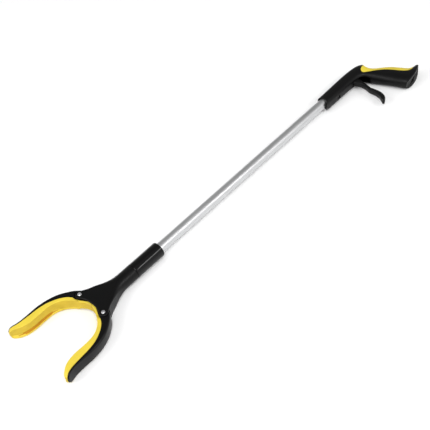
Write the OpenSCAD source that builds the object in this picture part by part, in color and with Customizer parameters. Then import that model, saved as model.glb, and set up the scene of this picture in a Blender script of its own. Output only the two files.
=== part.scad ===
// Reacher grabber with a swivelling two-jaw head, lying on its side.
// Design coordinates: the tube's axis is X, +X points to the handle, -Y to the trigger, +Z up,
// and X = 0 is the handle end of the collar. place() moves them into the part's own frame,
// whose origin is the middle of the underside of the whole outline.

/* [Tube] */
// Outer diameter of the tube
tube_d = 16.5; // [15:0.5:17]
// Wall thickness of the tube
tube_wall = 1.1; // [0.8:0.1:1.4]
// Length of tube between the collar and the handle
tube_free = 393; // [250:1:600]
// Length of tube inside the collar
tube_in_collar = 45; // [30:1:48]
// Length of tube inside the handle
tube_in_handle = 46; // [36:1:47]

/* [Collar and swivel] */
// Outer diameter of the collar and of the neck of the head
collar_d = 24.5; // [21:0.5:24.5]
// Length of the collar
collar_l = 55; // [50:1:70]
// Diameter of the swivel spigot
spigot_d = 13; // [11:0.5:14]
// Diameter of the flange that holds the head on the spigot
flange_d = 18; // [16:0.5:18.5]
// Angle that the head can turn
swivel_angle = 90; // [30:5:90]

/* [Head] */
// Half of the thickness of the head casing
head_half = 11; // [10.5:0.1:12]
// Thickness of the flat walls of the head casing
head_wall = 2.4; // [2:0.1:2.5]
// Distance of each jaw pivot from the middle plane
pivot_y = 25.4; // [25:0.1:26]
// Distance of the jaw pivots in front of the collar's handle end
pivot_x = 138.2; // [138:0.1:138.6]

/* [Jaws] */
// Half of the depth of the jaw arms
arm_half = 10.4; // [8.6:0.1:10.6]
// Half of the depth of the rubber pads
pad_half = 10.8; // [8.6:0.1:11]
// Angle that each jaw turns to close
jaw_angle = 29; // [20:0.5:29]
// Distance from the jaw pivot to its drive pin
drive_r = 9; // [8.8:0.1:9.2]
// Direction of the drive pin at rest, from straight inwards
drive_lead = 11.5; // [11:0.5:12]

/* [Rod and springs] */
// Diameter of the pull rod
rod_d = 2.5; // [2:0.1:2.8]
// Outer diameter of the return spring
spring_d = 8.4; // [7.5:0.1:9]
// Wire diameter of the return spring
spring_wire = 1.1; // [0.8:0.1:1.2]
// Number of turns of the return spring
spring_turns = 7; // [5:1:8]

/* [Handle and trigger] */
// Half of the thickness of the grip
grip_half = 12.5; // [12:0.1:13.5]
// Half of the thickness of the barrel of the handle
barrel_half = 11; // [10.5:0.1:12]
// Thickness of the yellow layer on the sides of the grip
insert_t = 2.2; // [1.5:0.1:2.5]
// Half of the width of the trigger
trigger_half = 5.6; // [5:0.1:6.5]
// Angle that the trigger turns
trigger_angle = 21; // [15:0.5:21]
// Distance from the trigger's pivot to the rod's cross leg
trigger_arm = 14; // [13.5:0.1:14.2]

/* [Hidden] */
$fn = 64;
e = 0.01;                      // overlap that makes one solid of two touching ones
over = 1;                      // how far a cutting solid runs past the face it cuts
fit = 0.05;                    // radial clearance of a shaft in its hole

black = [0.10, 0.10, 0.11];
yellow = [0.95, 0.80, 0.20];
silver = [0.75, 0.76, 0.78];
steel = [0.60, 0.61, 0.63];
white = [0.85, 0.85, 0.82];

// ---- curves ----
function blend4(a, b, c, d, t) = 0.5 * (2 * b + (c - a) * t + (2 * a - 5 * b + 4 * c - d) * t * t
    + (3 * b - a - 3 * c + d) * t * t * t);
// A smooth curve through the points p, with n steps between each pair
function curve(p, n = 5) = [
    for (i = [0 : len(p) - 2])
        for (k = [0 : n - 1])
            blend4(p[max(i - 1, 0)], p[i], p[i + 1], p[min(i + 2, len(p) - 1)], k / n),
    p[len(p) - 1]
];
function arc(c, r, a0, a1, n = 12) = [
    for (i = [0 : n])
        [c[0] + r * cos(a0 + (a1 - a0) * i / n), c[1] + r * sin(a0 + (a1 - a0) * i / n)]
];
function reverse(p) = [for (i = [len(p) - 1 : -1 : 0]) p[i]];
function flip(p) = [for (i = [len(p) - 1 : -1 : 0]) [p[i][0], -p[i][1]]];
function unit(v) = v / norm(v);
function turn_left(v) = [-v[1], v[0]];
// The curve p moved sideways by d to its left
function shifted(p, d) = [
    for (i = [0 : len(p) - 1])
        p[i] + d * turn_left(unit(p[min(i + 1, len(p) - 1)] - p[max(i - 1, 0)]))
];
function column(p, k) = [for (q = p) q[k]];

// ---- head ----
pivot = [-pivot_x, pivot_y];
neck_end = -collar_l - 0.3;
neck_r = collar_d / 2;
neck_back = -80;               // here the round neck starts to taper into the plate
neck_taper = -108;
taper_r = 9.5;
lobe_r = 7;
head_side = curve([[-84, 9.4], [-92, 11.6], [-100, 13.8], [-108, 17.2], [-116, 20.8], [-123, 24], [-129, 27.8]]);
head_front = curve([[-143.2, 20.6], [-140.6, 16.4], [-138.8, 11], [-138, 5], [-137.8, 0]], 4);
head_half_plan = concat(
    [[-78, 0], [-78, 8.6]], head_side,
    arc(pivot, lobe_r, 62, 224, 20), head_front
);
head_plan = concat(head_half_plan, flip(head_half_plan));
cavity_back = -101;
cavity_side = shifted(curve([[-101, 14.1], [-108, 17.2], [-116, 20.8], [-123, 24], [-128.2, 27.2]]), -2.2);
cavity_half = concat(
    [[cavity_back, 0]], cavity_side, [[-130.6, 36], [-160, 36], [-160, 0]]
);
cavity_plan = concat(cavity_half, flip(cavity_half));
cavity_half_z = head_half - head_wall;
spring_front = -108;
spring_back = -80;
seat_t = 1;
spring_room_r = 8.4;
spigot_end = -76;
flange_front = -70;
flange_back = -65;
washer_t = 1;
lug_half = 1.2;
lug_r = 7.4;

// ---- jaws ----
pad_back_pts = [
    [-136.6, 0.5], [-137.9, 7.5], [-141, 14], [-143.8, 18.8], [-146, 24], [-148.4, 29.8],
    [-152.9, 36.6], [-160.2, 43], [-168.9, 48], [-179.9, 52.5], [-193.2, 55.2], [-210.8, 56.5],
    [-226.9, 57.8], [-236.9, 60.2], [-243.4, 63]
];
pad_front_pts = [
    [-139.6, 0.5], [-141, 7.5], [-144.2, 13.5], [-147.6, 19.5], [-152.2, 26.8],
    [-159.8, 35], [-169.2, 41], [-181.8, 44.2], [-196.3, 44.6], [-212.4, 44.4], [-225.4, 46.3],
    [-234.6, 50.2], [-242, 55.8]
];
arm_outer_pts = [
    [-131.4, 30.8], [-134, 34.8], [-138.2, 39.4], [-145.4, 45.1], [-154.8, 51.2], [-165.3, 55.9],
    [-179.5, 59.6], [-195.8, 60.9], [-211.9, 60.4], [-227.1, 60.8], [-236.2, 62.7], [-243, 65.6]
];
pad_back = curve(pad_back_pts);
pad_front = curve(pad_front_pts);
arm_outer = curve(arm_outer_pts);
arm_start = 25;                // index on pad_back where the arm's own outline begins
pad_tip = curve([pad_front_pts[12], [-244.9, 58.2], [-246.1, 61], [-245.6, 63.3], pad_back_pts[14]], 4);
pad_plan = concat(pad_front, [for (i = [1 : len(pad_tip) - 2]) pad_tip[i]], reverse(pad_back));
arm_plan = concat(
    arm_outer, [[-244.9, 65.4], [-245.1, 64]],
    reverse([for (i = [arm_start : len(pad_back) - 1]) pad_back[i]]),
    [[-138, 25.4], [-131.2, 26.8]]
);
hub_r = 6.2;
hub_core_r = 4.2;
hub_half = cavity_half_z - 0.3;
lobe_room_r = lobe_r + 1.6;    // inside this the arm is thin enough to turn in the casing
wing_half = cavity_half_z - 1.1;
throat_half = cavity_half_z - 0.8;
throat_x = -146.5;             // behind this line the pad turns in the casing
tip_dir = [-0.87, 0.49];       // the way that a jaw's tip points
tip_at = [-246.1, 61];
wing_back = curve([[-133.2, 1.4], [-133.6, 6], [-133.4, 11.5], [-132.6, 15], [-132.2, 18.5], [-132, 24]], 4);
wing_plan = concat([for (i = [0 : arm_start]) pad_back[i]], reverse(wing_back));
fork_gap = 3.05;
fork_line = 22.8;
pin_d = 3;
pin_half = 7.3;
function from_pivot(r, a) = pivot + r * [sin(a), -cos(a)];
drive_pin_at = from_pivot(drive_r, drive_lead);
slot_lead = drive_lead + jaw_angle / 2;
stroke = 2 * drive_r * sin(jaw_angle / 2) / cos(slot_lead);
slot_at = from_pivot(drive_r, slot_lead) - [stroke / 2, 0];
slot_w = pin_d + 0.3;
slot_deep = 2.6;
prong_l = 3.2;
prong_w = 3.6;
// A point of the crosshead, given along and across its slot
function by_slot(along, across) = slot_at + along * [sin(slot_lead), -cos(slot_lead)]
    + across * [cos(slot_lead), sin(slot_lead)];
cross_half_plan = [
    [-126.6, 0], [-127, 4.4], [-132.3, 9.6], by_slot(slot_deep + 1.8, -slot_w / 2 - 1),
    by_slot(slot_deep, -prong_w), by_slot(-prong_l, -prong_w), by_slot(-prong_l, -slot_w / 2),
    by_slot(slot_deep, -slot_w / 2), by_slot(slot_deep, slot_w / 2),
    by_slot(-prong_l, slot_w / 2), by_slot(-prong_l, prong_w), by_slot(slot_deep, prong_w),
    [-126, 9.4], [-119, 5], [-119, 0]
];
cross_plan = concat(cross_half_plan, flip(cross_half_plan));
cross_plate_half = 2.6;
block_front = -122;
block_back = spring_front;
block_half_y = 5;
button_d = 6;
button_t = 2.4;
button_front = -117;
pocket_gap = 0.25;

// ---- rod and tube ----
tube_front = -tube_in_collar;
tube_back = tube_free + tube_in_handle;
tube_r = tube_d / 2;
tube_in_r = tube_r - tube_wall;
rod_r = rod_d / 2;
guide_l = 6;
rivet_x = -25;
rivet_head_r = 3;
rivet_sink = 1;                // depth of the pocket that the rivet's head sits in

// ---- handle and trigger ----
barrel_x = tube_free - 2;      // mouth of the barrel
hx = tube_free - 393;          // the handle moves with the length of the tube
trigger_pivot = [475 + hx, 4.5];
trigger_pin_r = 2;
mid_leg = [trigger_pivot[0], trigger_pivot[1] - trigger_arm];
leg = trigger_pivot + trigger_arm * [-sin(trigger_angle / 2), -cos(trigger_angle / 2)];
leg_half = 4;
leg_r = rod_r + 0.15;
rod_bend = tube_back + 5;
knuckle_r = rod_r + 0.4;
run = leg - [rod_bend, 0];
top_edge = curve([
    [391, 9.2], [405, 9.3], [426, 9.8], [456, 10.6], [481, 10.4], [497, 8.8], [506.5, 5.6],
    [510.6, 1.2], [509.7, -3.2]
]);
back_edge = curve([
    [509.7, -3.2], [508.8, -7], [508.9, -11.6], [511.6, -18.4], [519, -26.4], [529, -35.4],
    [537, -45.4], [543, -56.4], [547.6, -65], [552.6, -69.8], [559.5, -71.6]
]);
butt_tip = curve([[559.5, -71.6], [563.8, -71.8], [566.9, -73], [566.2, -75.2]], 4);
butt_edge = curve([[566.2, -75.2], [555.5, -80.4], [541, -85.8], [528, -88.6], [518, -89], [513.6, -86]]);
front_edge = curve([[513.6, -86], [509, -76], [503.2, -61], [496.8, -46], [490.8, -31], [486.6, -21.4], [481, -15]]);
bottom_edge = curve([[481, -15], [470, -13], [456, -12.3], [426, -12], [405, -11.8], [391, -11.6]]);
// The edge of the yellow layer, from the hump round to the butt
insert_edge = curve([
    [509.7, -3.2], [501.6, -3.6], [493.6, -7], [490.6, -13.2], [497, -21.6], [508, -31],
    [517.4, -41], [524.6, -53], [530.6, -64], [537.6, -72.6], [547, -75.6], [559.5, -71.6]
]);
function moved(p) = [for (q = p) [q[0] + hx, q[1]]];
grip_start = 462;              // where the thicker grip takes over from the barrel
shell_plan = concat(top_edge, insert_edge, butt_tip, butt_edge, front_edge, bottom_edge);
insert_plan = concat(back_edge, reverse(insert_edge));
core_back = shifted(back_edge, -2.5);
core_plan = concat(
    [for (i = [4 : len(core_back) - 6]) core_back[i]],
    reverse([for (i = [3 : len(insert_edge) - 4]) insert_edge[i]])
);
cavity_half_t = 8.6;
handle_cavity = concat(
    curve([[438, 7.9], [470, 8.6], [490, 6.6], [499, 1], [500.5, -8], [503.4, -18], [511, -29],
        [518, -40], [522, -52], [521, -60]]),
    [[512, -63], [490, -63], [470, -44], [457.5, -26], [457.5, -9.2], [438, -9]]
);
mouth_r = 13;
mouth_x = tube_free - 7;
boss_at = [[452.5, 5.8], [495, -2.4], [515.4, -52], [541, -82]];
boss_r = 4.2;
screw_r = 1.5;
screw_head_r = 2.6;
screw_head_h = 2;
screw_sink = 4.6;
tube_screw_x = 427 + hx;
trigger_front = curve([
    [471.8, 3.8], [468.4, -2.6], [465.4, -8], [466.6, -14.4], [470, -23.4],
    [470.2, -34.4], [467.6, -44.4], [467.6, -55.6], [465.8, -66], [461.8, -73.4], [460.4, -78]
]);
trigger_back = curve([
    [463.2, -79.8], [468.8, -76.6], [473.2, -69.8], [474.8, -61.4], [474.2, -52.6], [473.2, -44.4],
    [475.8, -33.6], [477.4, -24.6], [480.8, -14], [481.4, -6], [478.2, 4.2]
]);
trigger_head = arc([475, 4.5], 3.25, 4, 176, 10);
trigger_plan = concat(trigger_head, trigger_front, trigger_back);

// ---- place in the part's frame ----
plan_x = concat(column(pad_plan, 0), column(arm_plan, 0), column(moved(butt_tip), 0));
plan_y = concat(column(arm_plan, 1), column(pad_plan, 1), column(butt_edge, 1));
centre_x = (min(plan_x) + max(plan_x)) / 2;
centre_y = (min(plan_y) + max(plan_y)) / 2;
module place() {
    translate([-centre_x, -centre_y, grip_half]) children();
}
module mirrored_right() {
    mirror([0, 1, 0]) children();
}
// A plan outline made as thick as from z0 to z1
module slab(plan, z0, z1) {
    translate([0, 0, z0]) linear_extrude(z1 - z0) polygon(plan);
}
// A round bar along X from x0 to x1
module bar_x(r, x0, x1) {
    translate([x0, 0, 0]) rotate([0, 90, 0]) cylinder(r = r, h = x1 - x0);
}
// A round bar along Z over a plan point
module bar_z(p, r, z0, z1) {
    translate([p[0], p[1], z0]) cylinder(r = r, h = z1 - z0);
}
module box(x0, x1, y0, y1, z0, z1) {
    translate([x0, y0, z0]) cube([x1 - x0, y1 - y0, z1 - z0]);
}
// A pan-head screw along -Z, its head's underside at z = 0
module screw(head_r, head_h, shaft_r, l) {
    dome = [for (i = [0 : 8]) [head_r * sin(90 - i * 11.25), head_h * (0.45 + 0.55 * sin(i * 11.25))]];
    rotate_extrude() polygon(concat([[0, -l], [shaft_r, -l], [shaft_r, 0], [head_r, 0]], dome));
}
// A coil spring along X from x0 to x1
module coil(x0, x1, outer_d, wire, turns) {
    sides = 8;
    steps = 14;
    r = (outer_d - wire) / 2;
    n = turns * steps;
    pitch = (x1 - x0 - wire) / turns;
    rings = [for (i = [0 : n]) let (a = 360 * i / steps)
        [for (k = [0 : sides - 1]) let (b = 360 * k / sides, q = r + wire / 2 * cos(b))
            [x0 + wire / 2 + pitch * i / steps + wire / 2 * sin(b), q * cos(a), q * sin(a)]]];
    points = [for (ring = rings) each ring];
    sides_of = [for (i = [0 : n - 1]) for (k = [0 : sides - 1]) let (m = (k + 1) % sides)
        [i * sides + k, (i + 1) * sides + k, (i + 1) * sides + m, i * sides + m]];
    first = [for (k = [0 : sides - 1]) k];
    last = [for (k = [0 : sides - 1]) n * sides + sides - 1 - k];
    polyhedron(points, concat(sides_of, [first, last]));
}

// ---- head casing ----
module head_form() {
    difference() {
        union() {
            slab(head_plan, -head_half, head_half);
            bar_x(neck_r, neck_back, neck_end);
            translate([neck_taper, 0, 0]) rotate([0, 90, 0])
                cylinder(r1 = taper_r, r2 = neck_r, h = neck_back - neck_taper + e);
        }
        slab(cavity_plan, -cavity_half_z, cavity_half_z);
        bar_x(spring_room_r, cavity_back - over, spring_back + seat_t + 0.1);
        bar_x(2, spring_back, spigot_end);
        bar_x(spigot_d / 2 + fit, spigot_end - 0.3, neck_end + over);
        bar_x(flange_d / 2 + fit, flange_front - fit, flange_back + washer_t + fit);
    }
    for (s = [-1, 1]) {
        rib = [[-118, 5.3 * s], [-101, 5.3 * s], [-101, 7 * s], [-118, 7 * s]];
        slab(rib, 2.9, cavity_half_z + e);
        slab(rib, -cavity_half_z - e, -2.9);
        bar_z([-104, 9 * s], 2.9, -cavity_half_z - e, cavity_half_z + e);
    }
}
module head_shell_upper() {
    color(black) difference() {
        union() {
            intersection() {
                head_form();
                box(-160, -50, -40, 40, 0, 20);
            }
            // the lug that stops the swivel
            box(flange_front + 0.2, flange_back - 0.2, -lug_half, lug_half, lug_r, neck_r - 1);
        }
        for (s = [-1, 1]) {
            bar_z([-pivot_x, pivot_y * s], 2 + fit, 0, 20);
            bar_z([-104, 9 * s], 1.27, -over, 7);
        }
    }
}
module head_shell_lower() {
    color(black) difference() {
        union() {
            intersection() {
                head_form();
                box(-160, -50, -40, 40, -20, 0);
            }
            for (s = [-1, 1]) {
                bar_z([-pivot_x, pivot_y * s], 6, -grip_half, -head_half + e);
            }
        }
        for (s = [-1, 1]) {
            bar_z([-pivot_x, pivot_y * s], 2 + fit, -20, 0);
            translate([-pivot_x, pivot_y * s, -grip_half - over]) cylinder(d = 8.3, h = over + 2.6, $fn = 6);
            bar_z([-104, 9 * s], 1.3, -20, over);
            bar_z([-104, 9 * s], 2.5, -20, -7.5);
        }
    }
}
module pivot_screws() {
    color(silver) for (s = [-1, 1]) {
        translate([-pivot_x, pivot_y * s, head_half]) screw(3.1, 1.9, 2, head_half + grip_half - 0.3);
    }
}
module pivot_nuts() {
    color(silver) for (s = [-1, 1]) {
        translate([-pivot_x, pivot_y * s, -grip_half + 0.15]) difference() {
            cylinder(d = 8.08, h = 2.4, $fn = 6);
            translate([0, 0, -over]) cylinder(r = 2.02, h = 2.4 + 2 * over);
        }
    }
}
module head_screws() {
    color(steel) for (s = [-1, 1]) {
        translate([-104, 9 * s, -7.6]) mirror([0, 0, 1]) screw(2.2, 1.6, 1.25, 13.5);
    }
}

// ---- jaws ----
// All that lies beyond a round end, r in radius, of the jaw's tip
module beyond_tip(r) {
    translate([tip_at[0] - tip_dir[0] * r, tip_at[1] - tip_dir[1] * r, 0])
        rotate([0, 0, atan2(tip_dir[1], tip_dir[0])]) difference() {
            box(0, 2 * r, -20, 20, -20, 20);
            rotate([90, 0, 0]) cylinder(r = r, h = 50, center = true);
        }
}
module jaw() {
    difference() {
        union() {
            difference() {
                union() {
                    difference() {
                        slab(arm_plan, -arm_half, arm_half);
                        bar_z(pivot, lobe_room_r, hub_half - 0.1, 20);
                        bar_z(pivot, lobe_room_r, -20, 0.1 - hub_half);
                    }
                    slab(wing_plan, -wing_half, wing_half);
                    bar_z(pivot, hub_r, -hub_half, hub_half);
                }
                box(-146, -128, -1, fork_line, -fork_gap, fork_gap);
                box(-137, -128, fork_line - e, pivot_y, -fork_gap, fork_gap);
            }
            bar_z(pivot, hub_core_r, -fork_gap - e, fork_gap + e);
        }
        bar_z(pivot, 2 + fit, -20, 20);
        bar_z(drive_pin_at, pin_d / 2 + 0.02, -20, 20);
        beyond_tip(arm_half);
    }
}
module jaw_left() {
    color(black) jaw();
}
module jaw_right() {
    color(black) mirrored_right() jaw();
}
module pad() {
    slab(pad_plan, -throat_half, throat_half);
    difference() {
        intersection() {
            slab(pad_plan, -pad_half, pad_half);
            box(-300, throat_x, 0, 100, -20, 20);
        }
        beyond_tip(pad_half);
    }
}
module pad_left() {
    color(yellow) pad();
}
module pad_right() {
    color(yellow) mirrored_right() pad();
}
module drive_pin_left() {
    color(steel) bar_z(drive_pin_at, pin_d / 2, -pin_half, pin_half);
}
module drive_pin_right() {
    color(steel) mirrored_right() bar_z(drive_pin_at, pin_d / 2, -pin_half, pin_half);
}
module crosshead() {
    color(white) difference() {
        union() {
            slab(cross_plan, -cross_plate_half, cross_plate_half);
            box(block_front, block_back, -block_half_y, block_half_y, -hub_half, hub_half);
        }
        // open channel for the rod and pocket for its button
        box(button_front, block_back + over, -rod_r - 0.2, rod_r + 0.2, 0, 20);
        bar_x(rod_r + 0.2, button_front, block_back + over);
        box(button_front - pocket_gap, button_front + button_t + pocket_gap,
            -button_d / 2 - pocket_gap, button_d / 2 + pocket_gap, 0, 20);
        bar_x(button_d / 2 + pocket_gap, button_front - pocket_gap, button_front + button_t + pocket_gap);
    }
}
module return_spring() {
    color(steel) coil(spring_front + 0.05, spring_back - 0.05, spring_d, spring_wire, spring_turns);
}
module spring_seat() {
    color(steel) difference() {
        bar_x(7.5, spring_back, spring_back + seat_t);
        bar_x(rod_r + 0.5, spring_back - over, spring_back + seat_t + over);
    }
}
module swivel_washer() {
    color(white) difference() {
        bar_x(flange_d / 2 - 0.1, flange_back + fit, flange_back + washer_t);
        bar_x(spigot_d / 2 + 0.15, flange_back - over, flange_back + washer_t + over);
    }
}

// ---- collar and tube ----
module head_socket() {
    chamfer = 0.8;
    profile = [
        [rod_r + 0.4, spigot_end], [spigot_d / 2, spigot_end], [spigot_d / 2, flange_front],
        [flange_d / 2, flange_front], [flange_d / 2, flange_back], [spigot_d / 2, flange_back],
        [spigot_d / 2, -collar_l], [neck_r - chamfer / 2, -collar_l], [neck_r, -collar_l + chamfer],
        [neck_r, -chamfer], [neck_r - chamfer, 0], [tube_r + fit, 0], [tube_r + fit, tube_front],
        [rod_r + 0.4, tube_front]
    ];
    notch = concat([[0, 0]], arc([0, 0], neck_r + 2, 90 - 10, 90 + swivel_angle + 10, 12));
    color(black) difference() {
        rotate([0, 90, 0]) rotate_extrude() polygon(profile);
        // the notch that the swivel lug runs in: angles from +Y towards +Z
        difference() {
            translate([flange_front - over, 0, 0]) rotate([90, 0, 90])
                linear_extrude(flange_back - flange_front + over) polygon(notch);
            bar_x(lug_r - 0.3, flange_front - 2 * over, flange_back + over);
        }
        translate([rivet_x, 0, -neck_r - over]) cylinder(r = 1.62, h = over + neck_r - tube_in_r);
        translate([rivet_x, 0, -neck_r - over]) cylinder(r = rivet_head_r + fit, h = over + rivet_sink);
    }
}
module collar_rivet() {
    color(silver) translate([rivet_x, 0, rivet_sink - neck_r]) mirror([0, 0, 1])
        screw(rivet_head_r, 0.9, 1.6, neck_r - rivet_sink - tube_in_r);
}
module tube() {
    color(silver) difference() {
        bar_x(tube_r, tube_front, tube_back);
        bar_x(tube_in_r, tube_front - over, tube_back + over);
        translate([rivet_x, 0, -neck_r]) cylinder(r = 1.62, h = neck_r);
        translate([tube_screw_x, 0, 0]) rotate([90, 0, 0]) cylinder(r = screw_r + 0.02, h = neck_r);
    }
}
module rod_guide(x) {
    difference() {
        bar_x(tube_in_r - 0.03, x, x + guide_l);
        bar_x(rod_r + 0.07, x - over, x + guide_l + over);
    }
}
module rod_guide_front() {
    color(white) rod_guide(tube_front + 1);
}
module rod_guide_rear() {
    color(white) rod_guide(tube_back - guide_l);
}
module pull_rod() {
    color(steel) {
        bar_x(rod_r, button_front + button_t / 2, rod_bend);
        bar_x(button_d / 2, button_front, button_front + button_t);
        bar_z([rod_bend, 0], knuckle_r, -knuckle_r, knuckle_r);
        translate([rod_bend, 0, 0]) rotate([0, 0, atan2(run[1], run[0])]) bar_x(rod_r, 0, norm(run));
        bar_z(leg, leg_r, -leg_half, leg_half);
    }
}

// ---- handle ----
module handle_form() {
    difference() {
        union() {
            intersection() {
                slab(moved(shell_plan), -grip_half, grip_half);
                union() {
                    box(grip_start + hx, 600 + hx, -100, 20, -grip_half, grip_half);
                    box(380, grip_start + hx + e, -100, 20, -barrel_half, barrel_half);
                }
            }
            slab(moved(core_plan), -grip_half + insert_t, grip_half - insert_t);
        }
        slab(moved(handle_cavity), -cavity_half_t, cavity_half_t);
        bar_x(tube_r + fit, 380, tube_back + 1);
        bar_z([mouth_x, -0.6], mouth_r, -20, 20);
        // recess and hole of the tube's fixing screw
        translate([tube_screw_x, over - tube_r, 0]) rotate([90, 0, 0]) cylinder(r = screw_r + 0.02, h = 10);
        translate([tube_screw_x, -tube_r - 0.9, 0]) rotate([90, 0, 0]) cylinder(r = 3.1, h = 10);
    }
    for (p = moved(boss_at)) {
        bar_z(p, boss_r, -cavity_half_t - e, cavity_half_t + e);
    }
    for (s = [-1, 1]) {
        bar_z(trigger_pivot, 4.2, s > 0 ? trigger_half + 0.3 : -cavity_half_t - e,
            s > 0 ? cavity_half_t + e : -trigger_half - 0.3);
    }
}
module handle_shell_upper() {
    color(black) difference() {
        intersection() {
            handle_form();
            box(380, 600 + hx, -100, 20, 0, 20);
        }
        bar_z(trigger_pivot, trigger_pin_r + 0.02, -over, 9.6);
        for (p = moved(boss_at)) {
            bar_z(p, screw_r + 0.02, -over, 8);
        }
    }
}
module handle_shell_lower() {
    color(black) difference() {
        intersection() {
            handle_form();
            box(380, 600 + hx, -100, 20, -20, 0);
        }
        bar_z(trigger_pivot, trigger_pin_r + 0.02, -9.6, over);
        for (p = moved(boss_at)) {
            bar_z(p, screw_r + 0.05, -20, over);
            bar_z(p, screw_head_r + 0.3, -20, -screw_sink - screw_head_h);
        }
    }
}
module grip_insert() {
    color(yellow) difference() {
        slab(moved(insert_plan), -grip_half, grip_half);
        slab(moved(core_plan), -grip_half + insert_t, grip_half - insert_t);
    }
}
module handle_screws() {
    color(steel) for (p = moved(boss_at)) {
        translate([p[0], p[1], -screw_sink - screw_head_h - 0.02]) mirror([0, 0, 1])
            screw(screw_head_r, screw_head_h, screw_r, screw_sink + screw_head_h + 7.5);
    }
}
module tube_screw() {
    color(steel) translate([tube_screw_x, -tube_r - 0.92, 0]) rotate([90, 0, 0])
        screw(2.6, 1.6, screw_r, 5);
}
module trigger() {
    color(black) difference() {
        slab(moved(trigger_plan), -trigger_half, trigger_half);
        bar_z(trigger_pivot, trigger_pin_r + fit, -20, 20);
        // slot for the rod and the holes of its cross leg
        box(450 + hx, 480 + hx, -13.4, -1.6, -rod_r - 0.5, rod_r + 0.5);
        for (d = [-0.2, 0.2]) {
            bar_z(leg + [0, d], leg_r + 0.15, -leg_half - 0.3, leg_half + 0.3);
        }
    }
}
module trigger_pin() {
    color(silver) bar_z(trigger_pivot, trigger_pin_r, -9.5, 9.5);
}

place() head_shell_upper();
place() head_shell_lower();
place() pivot_screws();
place() pivot_nuts();
place() head_screws();
place() jaw_left();
place() jaw_right();
place() pad_left();
place() pad_right();
place() drive_pin_left();
place() drive_pin_right();
place() crosshead();
place() return_spring();
place() spring_seat();
place() swivel_washer();
place() head_socket();
place() collar_rivet();
place() tube();
place() rod_guide_front();
place() rod_guide_rear();
place() pull_rod();
place() handle_shell_upper();
place() handle_shell_lower();
place() grip_insert();
place() trigger();
place() trigger_pin();
place() handle_screws();
place() tube_screw();
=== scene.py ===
"""The looks of the reacher grabber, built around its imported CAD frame.

Points are given in millimetres in the design's own coordinates: X runs along the tube from the
handle end of the collar towards the handle, -Y is the trigger's side and +Z is up.
"""
import math

import bmesh
import bpy
from mathutils import Matrix, Vector


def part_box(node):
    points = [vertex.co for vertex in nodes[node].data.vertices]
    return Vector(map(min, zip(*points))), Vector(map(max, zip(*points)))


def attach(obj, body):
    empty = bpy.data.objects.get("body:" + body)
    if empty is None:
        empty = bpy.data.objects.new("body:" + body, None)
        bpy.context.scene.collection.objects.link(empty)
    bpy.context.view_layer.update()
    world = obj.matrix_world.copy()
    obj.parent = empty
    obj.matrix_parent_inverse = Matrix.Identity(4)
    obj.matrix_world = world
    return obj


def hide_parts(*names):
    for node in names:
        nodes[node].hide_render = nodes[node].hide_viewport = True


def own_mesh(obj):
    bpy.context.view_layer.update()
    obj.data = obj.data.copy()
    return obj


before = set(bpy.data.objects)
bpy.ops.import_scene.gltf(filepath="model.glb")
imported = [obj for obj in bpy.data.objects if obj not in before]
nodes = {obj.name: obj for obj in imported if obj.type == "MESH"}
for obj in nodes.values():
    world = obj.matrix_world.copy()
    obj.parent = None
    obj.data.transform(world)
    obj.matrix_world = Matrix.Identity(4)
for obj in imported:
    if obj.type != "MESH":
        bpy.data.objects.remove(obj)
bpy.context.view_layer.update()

MM = 0.001
TUBE_IN_COLLAR = 45.0
tube_lo, tube_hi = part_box("tube")
ORIGIN = Vector((
    tube_lo.x + TUBE_IN_COLLAR * MM, (tube_lo.y + tube_hi.y) / 2, (tube_lo.z + tube_hi.z) / 2
))


def at(x, y, z=0.0):
    """The place in the frame, in metres, of a point of the design."""
    return ORIGIN + Vector((x, y, z)) * MM


# ---------------------------------------------------------------- curves

def blend4(a, b, c, d, t):
    """The Catmull-Rom blend from b to c, with a before them and d after them."""
    return 0.5 * (2 * b + (c - a) * t + (2 * a - 5 * b + 4 * c - d) * t * t
                  + (3 * b - a - 3 * c + d) * t ** 3)


def curve(points, n=5):
    """A smooth curve through points of any dimension, n steps between each pair."""
    last = len(points) - 1
    out = []
    for i in range(last):
        four = [points[max(i - 1, 0)], points[i], points[i + 1], points[min(i + 2, last)]]
        for k in range(n):
            out.append(tuple(blend4(*four_c, k / n) for four_c in zip(*four)))
    out.append(tuple(points[last]))
    return out


def arc(centre, r, a0, a1, n):
    """A plan arc in n steps, its angles in degrees."""
    angles = [math.radians(a0 + (a1 - a0) * i / n) for i in range(n + 1)]
    return [(centre[0] + r * math.cos(a), centre[1] + r * math.sin(a)) for a in angles]


def smooth(x, x0, x1):
    """From 0 at x0 to 1 at x1, level at both ends."""
    t = min(max((x - x0) / (x1 - x0), 0.0), 1.0)
    return t * t * (3 - 2 * t)


def mix(a, b, t):
    return a + (b - a) * t


def normals(path, closed):
    """The unit vector to the left of the path at each of its points."""
    n = len(path)
    out = []
    for i in range(n):
        a = path[i - 1] if closed or i > 0 else path[0]
        b = path[(i + 1) % n] if closed or i < n - 1 else path[-1]
        d = Vector((b[0] - a[0], b[1] - a[1])).normalized()
        out.append((-d.y, d.x))
    return out


def area(plan):
    """The area inside a closed plan, above 0 when it runs counter-clockwise."""
    return sum(a[0] * b[1] - b[0] * a[1] for a, b in zip(plan, plan[1:] + plan[:1])) / 2


# ---------------------------------------------------------------- meshes

# closer than these, in metres, points are welded and edges dropped
POINT_WELD = 1e-7
PIECE_WELD = 2e-6
EDGE_WELD = 1e-6


def linked(name, data):
    """A new object in the scene."""
    obj = bpy.data.objects.new(name, data)
    bpy.context.scene.collection.objects.link(obj)
    return obj


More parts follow.
